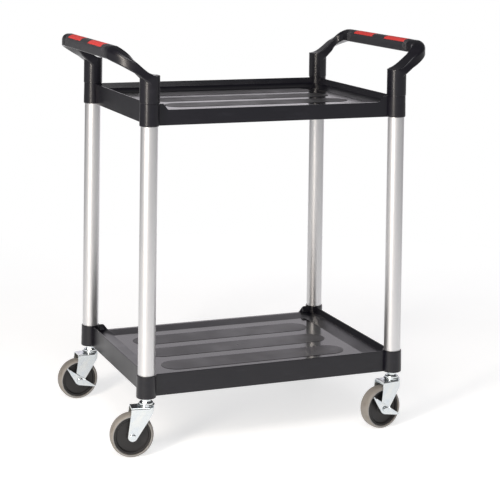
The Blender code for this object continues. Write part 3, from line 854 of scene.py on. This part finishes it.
def axle_mesh(node):
    """A bolt with a low domed head on the lever's side, as long as that CAD node."""
    near, far = along_axle(node)
    radius = 6.6 * MM
    dome = 3.0 * MM
    profile = [(AXLE_R - 0.8 * MM, near), (AXLE_R, near + 0.8 * MM)]
    profile += [(AXLE_R, far - dome), (radius, far - dome), (radius, far - dome * 0.55)]
    profile += [(radius * 0.9, far - dome * 0.3), (radius * 0.65, far - dome * 0.1), (radius * 0.2, far)]
    return across(turned("axle", profile, False, 48), TRAIL, WHEEL_R)


def along_axle(node):
    """A castor node's first and last place along its own axle."""
    corner = next(corner for corner in CORNERS if corner in node)
    spin = JOINTS[f"{corner}_spin"]
    axis = Vector(spin["axis"])
    reach = [(vertex.co - Vector(spin["pos_m"])).dot(axis) for vertex in frame["nodes"][node].data.vertices]
    return min(reach), max(reach)


def axle_ring(node, radius):
    """A plain ring on the axle with broken edges, as long as that CAD node."""
    near, far = along_axle(node)
    bore = AXLE_R + GAP
    trim = 0.25 * MM
    profile = ((bore, near), (radius - trim, near), (radius, near + trim), (radius, far - trim))
    profile += ((radius - trim, far), (bore, far))
    return across(turned("ring", profile, True, 48), TRAIL, WHEEL_R)


def lever_outline():
    """The brake lever's wings, from its pivot: a long straight top edge and a blunt apex below."""
    shoulder = 0.66 * LEVER_HALF
    apex = 4 * MM
    tip = 1.2 * MM
    right = ((apex, -LEVER_APEX), (shoulder, 0.0), (LEVER_HALF - tip, LEVER_EDGE - 2.2 * tip))
    right += ((LEVER_HALF, LEVER_EDGE - tip), (LEVER_HALF - tip, LEVER_EDGE))
    left = tuple((-x, z) for x, z in reversed(right))
    return left + right


def lever_mesh():
    """The brake lever with a folded foot edge along its top, and its origin on the axle."""
    near = FORK_HALF + GAP
    far = near + LEVER_PLATE
    rounding = 0.4 * MM
    plate = stood_up(prism("brake_lever", lever_outline(), near, far, rounding, both=True))
    for side in (-1, 1):
        inner = side * 0.13 * LEVER_HALF
        outer = side * 0.93 * LEVER_HALF
        root = far - LEVER_PLATE / 2
        lip = far + LEVER_FLANGE
        outline = [(inner, root), (outer, root)]
        outline += [(outer - side * 3 * MM, lip), (inner + side * 2 * MM, lip)]
        bottom = LEVER_EDGE - LEVER_PLATE
        foot = prism("foot", outline[::side], bottom, LEVER_EDGE - GAP, rounding, both=True)
        plate = combine(plate, foot, "UNION")
    plate = combine(plate, axle_drill(), "DIFFERENCE")
    return moved(plate, Matrix.Rotation(-LEVER_TILT, 4, "Y"))


def castor_frames(corner):
    """Where a castor's swivel and its axle stand, with local +X the way that the wheel trails."""
    swivel = Vector(JOINTS[f"{corner}_swivel"]["pos_m"])
    axle = Vector(JOINTS[f"{corner}_spin"]["pos_m"])
    trail = axle - swivel
    turn = Matrix.Rotation(math.atan2(trail.y, trail.x), 4, "Z")
    at_post = Matrix.Translation((swivel.x, swivel.y, 0)) @ turn
    return at_post, Matrix.Translation(axle) @ turn


def build_castors(materials):
    zinc = (materials["zinc"],)
    nut_near, nut_far = along_axle("castor_front_left_axle_nut")
    axle_nut = hexagon_nut("axle_nut", 8.0 * MM, nut_near, nut_far, AXLE_R + GAP)
    meshes = {
        "stem": stem_mesh(),
        "cap": cap_mesh(),
        "stem_nut": hexagon_nut("stem_nut", 10.8 * MM, CAP_TOP_Z + GAP, NUT_TOP_Z, STEM_R + GAP),
        "fork": fork_mesh(),
        "axle_nut": across(axle_nut, TRAIL, WHEEL_R),
        "sleeve": axle_ring("castor_front_left_sleeve", SLEEVE_R),
    }
    plain_axle = axle_mesh("castor_front_left_axle")
    braked_axle = axle_mesh("castor_front_right_axle")
    cam = axle_ring("castor_front_right_brake_cam", 7.0 * MM)
    lever = lever_mesh()
    tyre = tyre_mesh()
    for face in tyre.polygons:
        face.material_index = int(abs(face.normal.y) > POINTS_SIDEWAYS)
    hub = hub_mesh()
    for corner in CORNERS:
        label = f"castor_{corner}"
        at_post, at_axle = castor_frames(corner)
        for piece, mesh in meshes.items():
            show(f"{label}_{piece}", mesh, zinc, at_post)
        braked = corner in BRAKED
        show(f"{label}_axle", braked_axle if braked else plain_axle, zinc, at_post)
        show(f"{label}_hub", hub, (materials["hub"],), at_axle)
        show(f"{label}_tyre", tyre, (materials["tread"], materials["tyre side"]), at_axle)
        if braked:
            show(f"{label}_brake_lever", lever, zinc, at_axle)
            show(f"{label}_brake_cam", cam, zinc, at_post)


# Materials


class Surface:
    """A Principled material, with short calls for the noise, ramps and bumps that drive it."""

    def __init__(self, name, metallic=0.0, **inputs):
        self.material = bpy.data.materials.new(name)
        self.material.use_nodes = True
        self.tree = self.material.node_tree
        self.shader = self.tree.nodes["Principled BSDF"]
        self.shader.inputs["Metallic"].default_value = metallic
        for label, value in inputs.items():
            self.shader.inputs[label.replace("_", " ")].default_value = value
        self.place = self.tree.nodes.new("ShaderNodeTexCoord").outputs["Object"]

    def noise(self, size, detail=3.0, stretch=(1.0, 1.0, 1.0)):
        """Noise with features of about that size in metres, drawn out along an axis by stretch."""
        scale = self.tree.nodes.new("ShaderNodeMapping")
        scale.inputs["Scale"].default_value = [1 / s for s in stretch]
        self.tree.links.new(self.place, scale.inputs["Vector"])
        texture = self.tree.nodes.new("ShaderNodeTexNoise")
        texture.inputs["Scale"].default_value = 1 / size
        texture.inputs["Detail"].default_value = detail
        self.tree.links.new(scale.outputs["Vector"], texture.inputs["Vector"])
        return texture.outputs["Fac"]

    def spread(self, value, first, last, start=0.35, stop=0.65):
        """Map a value from start..stop to first..last."""
        node = self.tree.nodes.new("ShaderNodeMapRange")
        for label, number in (("From Min", start), ("From Max", stop), ("To Min", first), ("To Max", last)):
            node.inputs[label].default_value = number
        self.tree.links.new(value, node.inputs["Value"])
        return node.outputs["Result"]

    def mix(self, factor, first, last):
        node = self.tree.nodes.new("ShaderNodeMix")
        node.data_type = "RGBA"
        self.tree.links.new(factor, node.inputs["Factor"])
        for socket, value in ((node.inputs["A"], first), (node.inputs["B"], last)):
            if isinstance(value, tuple):
                socket.default_value = (*value, 1.0)
            else:
                self.tree.links.new(value, socket)
        return node.outputs["Result"]

    def drive(self, label, value):
        self.tree.links.new(value, self.shader.inputs[label])

    def bump(self, height, depth, under=None):
        """Bump of about that depth in metres, on top of another bump if one is given."""
        node = self.tree.nodes.new("ShaderNodeBump")
        node.inputs["Strength"].default_value = 1.0
        node.inputs["Distance"].default_value = depth
        self.tree.links.new(height, node.inputs["Height"])
        if under is not None:
            self.tree.links.new(under, node.inputs["Normal"])
        return node.outputs["Normal"]


def moulded_plastic(name, dark, light, gloss, dull, grain):
    """Satin moulded plastic: a fine grain, slow changes of gloss, and faint rubbed patches."""
    surface = Surface(name, IOR=1.48)
    cloud = surface.noise(90 * MM)
    rubbed = surface.spread(surface.noise(14 * MM, 5.0, (3.0, 3.0, 0.6)), 0.0, 1.0, 0.55, 0.75)
    surface.drive("Base Color", surface.mix(rubbed, dark, light))
    surface.drive("Roughness", surface.spread(cloud, gloss, dull))
    fine = surface.bump(surface.noise(0.9 * MM, 2.0), grain)
    surface.drive("Normal", surface.bump(surface.noise(40 * MM, 1.0), 0.04 * MM, fine))
    return surface.material


def satin_aluminium():
    """Anodised tube: fine lines drawn along its length, over slow changes of tone."""
    surface = Surface("satin aluminium", metallic=1.0)
    lines = surface.noise(0.9 * MM, 3.0, (1.0, 1.0, 180.0))
    tone = surface.mix(surface.noise(120 * MM), (0.68, 0.68, 0.70), (0.74, 0.73, 0.73))
    surface.drive("Base Color", tone)
    surface.drive("Roughness", surface.spread(lines, 0.38, 0.48))
    surface.drive("Normal", surface.bump(lines, 0.012 * MM))
    return surface.material


def zinc_plate():
    """Bright zinc: cool and faintly warm patches, with drawing marks from the press."""
    surface = Surface("zinc plate", metallic=1.0)
    patch = surface.noise(13 * MM, 2.0)
    surface.drive("Base Color", surface.mix(patch, (0.60, 0.66, 0.72), (0.78, 0.79, 0.77)))
    surface.drive("Roughness", surface.spread(surface.noise(5 * MM, 4.0), 0.12, 0.26))
    marks = surface.noise(1.2 * MM, 3.0, (1.0, 1.0, 6.0))
    surface.drive("Normal", surface.bump(marks, 0.03 * MM))
    return surface.material


def grey_rubber(name, dark, light, dirtiness):
    """Non-marking tyre rubber: speckled, with brown dirt in patches."""
    surface = Surface(name, IOR=1.5)
    speckle = surface.noise(1.6 * MM, 4.0)
    dirt = surface.spread(surface.noise(22 * MM, 5.0), 0.0, dirtiness, 0.5, 0.8)
    surface.drive("Base Color", surface.mix(dirt, surface.mix(speckle, dark, light), (0.16, 0.135, 0.11)))
    surface.drive("Roughness", surface.spread(speckle, 0.5, 0.7))
    surface.drive("Normal", surface.bump(speckle, 0.08 * MM))
    return surface.material


def soft_touch(name, dark, light, grain):
    """Soft-touch rubber: a fine even grain and a slight sheen."""
    surface = Surface(name, Sheen_Weight=0.05, Sheen_Roughness=0.5)
    speckle = surface.noise(1.1 * MM, 3.0)
    surface.drive("Base Color", surface.mix(surface.noise(25 * MM, 3.0), dark, light))
    surface.drive("Roughness", surface.spread(speckle, 0.42, 0.58))
    surface.drive("Normal", surface.bump(speckle, grain))
    return surface.material


def make_materials():
    return {
        "plastic": moulded_plastic(
            "tray plastic", (0.003, 0.0025, 0.006), (0.0065, 0.006, 0.0105), 0.28, 0.35, 0.001 * MM
        ),
        "gloss": moulded_plastic(
            "tray floor", (0.008, 0.0075, 0.0085), (0.014, 0.013, 0.015), 0.10, 0.16, 0.003 * MM
        ),
        "pad": moulded_plastic(
            "tray pad", (0.008, 0.007, 0.009), (0.013, 0.012, 0.014), 0.34, 0.42, 0.02 * MM
        ),
        "handle": moulded_plastic(
            "handle plastic", (0.0045, 0.004, 0.0075), (0.009, 0.008, 0.0125), 0.26, 0.34, 0.002 * MM
        ),
        "hub": moulded_plastic(
            "hub plastic", (0.012, 0.011, 0.0115), (0.020, 0.018, 0.019), 0.36, 0.5, 0.02 * MM
        ),
        "aluminium": satin_aluminium(),
        "zinc": zinc_plate(),
        "tread": grey_rubber("tyre tread", (0.205, 0.187, 0.168), (0.262, 0.243, 0.222), 0.6),
        "tyre side": grey_rubber("tyre side", (0.215, 0.212, 0.210), (0.270, 0.266, 0.262), 0.25),
        "grip": soft_touch("soft grip", (0.013, 0.013, 0.018), (0.021, 0.021, 0.028), 0.03 * MM),
        "insert": soft_touch("red insert", (0.56, 0.030, 0.028), (0.66, 0.048, 0.042), 0.04 * MM),
    }


# Studio


# The camera looks almost level and its lens is shifted down, which keeps the posts near parallel.
CAMERA_AT = Vector((-1.4019, -3.5268, 1.2237))
CAMERA_YAW = math.radians(21.96)
CAMERA_PITCH = math.radians(1.88)
CAMERA_ROLL = math.radians(0.80)
CAMERA_LENS_MM = 110.34
CAMERA_SHIFT = -0.5583
SENSOR_MM = 36.0
FLOOR_R = 2.4
FLOOR_FADE_R = 1.1
FLOOR_GLOW = 1.25
# How bright the studio is well above the horizon, and the slope of a ray where the dimming
# starts and where it ends.
ABOVE_HORIZON = 0.15
DIMS_FROM = 0.02
DIMS_TO = 0.12
# Brightness of the studio round the horizon, by azimuth. 0 is in front and 90 to the right.
HORIZON = (
    (-180, 0.8),
    (-158, 0.08),
    (-130, 0.4),
    (-90, 0.6),
    (-50, 0.8),
    (-15, 0.68),
    (25, 0.55),
    (65, 0.5),
    (100, 0.42),
    (125, 0.4),
    (146, 1.0),
    (180, 0.8),
)
# Azimuth and elevation are in degrees, seen from the trolley, with azimuth as above.
SOFTBOXES = (
    {
        "name": "key",
        "azimuth": -52,
        "elevation": 20,
        "distance": 2.75,
        "width": 0.44,
        "height": 1.9,
        "radiance": 25.0,
        "colour": (1.0, 0.92, 0.83),
    },
    {
        "name": "top",
        "azimuth": -15,
        "elevation": 55,
        "distance": 2.6,
        "width": 1.8,
        "height": 1.4,
        "radiance": 4.0,
        "colour": (1.0, 1.0, 1.0),
    },
    {
        "name": "back",
        "azimuth": 149,
        "elevation": 4,
        "distance": 2.3,
        "width": 3.0,
        "height": 1.5,
        "radiance": 0.77,
        "colour": (0.98, 0.93, 1.0),
    },
)


def add_camera():
    data = bpy.data.cameras.new("camera")
    data.lens = CAMERA_LENS_MM
    data.sensor_width = SENSOR_MM
    camera = bpy.data.objects.new("camera", data)
    aim = bpy.data.objects.new("camera aim", None)
    turn = Matrix.Rotation(-CAMERA_YAW, 4, "Z") @ Matrix.Rotation(math.pi / 2 - CAMERA_PITCH, 4, "X")
    for item in (camera, aim):
        bpy.context.scene.collection.objects.link(item)
        item.matrix_world = Matrix.Translation(CAMERA_AT) @ turn @ Matrix.Rotation(CAMERA_ROLL, 4, "Z")
    bpy.context.scene.camera = camera
    shift_with_aim(camera, aim)


def shift_with_aim(camera, aim):
    """Keep the lens shift only while the camera points the way that it was set up."""
    curve = camera.data.driver_add("shift_y")
    curve.modifiers.remove(curve.modifiers[0])
    curve.driver.type = "SUM"
    turned_by = curve.driver.variables.new()
    turned_by.type = "ROTATION_DIFF"
    turned_by.targets[0].id = camera
    turned_by.targets[1].id = aim
    curve.keyframe_points.add(2)
    curve.keyframe_points[0].co = (0.0, CAMERA_SHIFT)
    curve.keyframe_points[1].co = (math.radians(2.0), 0.0)
    for key in curve.keyframe_points:
        key.interpolation = "LINEAR"
    curve.update()


def add_floor():
    """A pale, faintly mottled round floor that fades into the white round it."""
    bm = bmesh.new()
    bmesh.ops.create_circle(bm, cap_ends=True, segments=128, radius=FLOOR_R)
    floor = bpy.data.objects.new("floor", as_mesh(bm, "floor"))
    bpy.context.scene.collection.objects.link(floor)
    surface = Surface("pale floor", Roughness=0.7, Emission_Strength=FLOOR_GLOW)
    tone = surface.mix(surface.noise(0.6), (0.52, 0.52, 0.52), (0.56, 0.56, 0.56))
    surface.drive("Base Color", tone)
    surface.drive("Emission Color", tone)
    nodes, links = surface.tree.nodes, surface.tree.links
    distance = nodes.new("ShaderNodeVectorMath")
    distance.operation = "LENGTH"
    links.new(surface.place, distance.inputs[0])
    fade = surface.spread(distance.outputs["Value"], 0.0, 1.0, FLOOR_FADE_R, FLOOR_R * 0.9)
    white = nodes.new("ShaderNodeEmission")
    blend_out = nodes.new("ShaderNodeMixShader")
    links.new(fade, blend_out.inputs["Fac"])
    links.new(surface.shader.outputs["BSDF"], blend_out.inputs[1])
    links.new(white.outputs["Emission"], blend_out.inputs[2])
    links.new(blend_out.outputs["Shader"], nodes["Material Output"].inputs["Surface"])
    floor.data.materials.append(surface.material)


def add_softbox(name, azimuth, elevation, distance, width, height, radiance, colour):
    """A rectangular lamp that faces the trolley's middle, seen by everything but the camera."""
    data = bpy.data.lights.new(name, "AREA")
    data.shape = "RECTANGLE"
    data.size = width
    data.size_y = height
    data.energy = radiance * math.pi * width * height
    data.color = colour
    lamp = bpy.data.objects.new(name, data)
    bpy.context.scene.collection.objects.link(lamp)
    turn = math.radians(azimuth)
    lift = math.radians(elevation)
    level = math.cos(lift)
    away = Vector((math.sin(turn) * level, -math.cos(turn) * level, math.sin(lift)))
    lamp.location = (CAD_LOW + CAD_HIGH) / 2 + away * distance
    lamp.rotation_euler = (-away).to_track_quat("-Z", "Y").to_euler()
    lamp.visible_camera = False


class Sky:
    """The world's node tree, with short calls for maths on the direction of a ray."""

    def __init__(self, world):
        world.use_nodes = True
        self.tree = world.node_tree
        self.background = self.tree.nodes["Background"]
        place = self.tree.nodes.new("ShaderNodeTexCoord").outputs["Generated"]
        parts = self.tree.nodes.new("ShaderNodeSeparateXYZ")
        self.tree.links.new(place, parts.inputs["Vector"])
        self.x, self.y, self.z = (parts.outputs[axis] for axis in "XYZ")

    def math(self, operation, first, second):
        node = self.tree.nodes.new("ShaderNodeMath")
        node.operation = operation
        for socket, value in zip(node.inputs, (first, second)):
            if isinstance(value, float):
                socket.default_value = value
            else:
                self.tree.links.new(value, socket)
        return node.outputs["Value"]

    def spread(self, value, start, stop, first, last):
        node = self.tree.nodes.new("ShaderNodeMapRange")
        node.interpolation_type = "SMOOTHSTEP"
        for label, number in (("From Min", start), ("From Max", stop), ("To Min", first), ("To Max", last)):
            node.inputs[label].default_value = number
        self.tree.links.new(value, node.inputs["Value"])
        return node.outputs["Result"]

    def mix(self, factor, first, last):
        node = self.tree.nodes.new("ShaderNodeMix")
        self.tree.links.new(factor, node.inputs["Factor"])
        for label, value in (("A", first), ("B", last)):
            if isinstance(value, float):
                node.inputs[label].default_value = value
            else:
                self.tree.links.new(value, node.inputs[label])
        return node.outputs["Result"]

    def horizon(self):
        """The studio's brightness round the horizon."""
        minus_y = self.math("MULTIPLY", self.y, -1.0)
        turn = self.math("ARCTAN2", self.x, minus_y)
        share = self.math("MULTIPLY_ADD", turn, 1 / math.tau)
        share.node.inputs[2].default_value = 0.5
        ramp = self.tree.nodes.new("ShaderNodeValToRGB")
        ramp.color_ramp.interpolation = "EASE"
        stops = ramp.color_ramp.elements
        for azimuth, level in HORIZON[1:-1]:
            stops.new((azimuth + 180) / 360).color = (level, level, level, 1.0)
        for stop, (azimuth, level) in ((stops[0], HORIZON[0]), (stops[-1], HORIZON[-1])):
            stop.color = (level, level, level, 1.0)
        self.tree.links.new(share, ramp.inputs["Fac"])
        return ramp.outputs["Color"]


def add_world():
    """The studio round the trolley, dim above the horizon. The camera itself sees plain white."""
    world = bpy.data.worlds.new("studio")
    bpy.context.scene.world = world
    sky = Sky(world)
    above = sky.spread(sky.z, DIMS_FROM, DIMS_TO, 0.0, 1.0)
    light = sky.mix(above, sky.horizon(), ABOVE_HORIZON)
    is_camera = sky.tree.nodes.new("ShaderNodeLightPath").outputs["Is Camera Ray"]
    sky.tree.links.new(sky.mix(is_camera, light, 1.0), sky.background.inputs["Strength"])
    sky.background.inputs["Color"].default_value = (1.0, 1.0, 1.0, 1.0)


def add_studio():
    add_floor()
    add_world()
    add_camera()
    for softbox in SOFTBOXES:
        add_softbox(**softbox)
    bpy.context.scene.view_settings.view_transform = "Standard"


materials = make_materials()
build_trays(materials)
build_posts(materials)
build_handles(materials)
build_castors(materials)
add_studio()
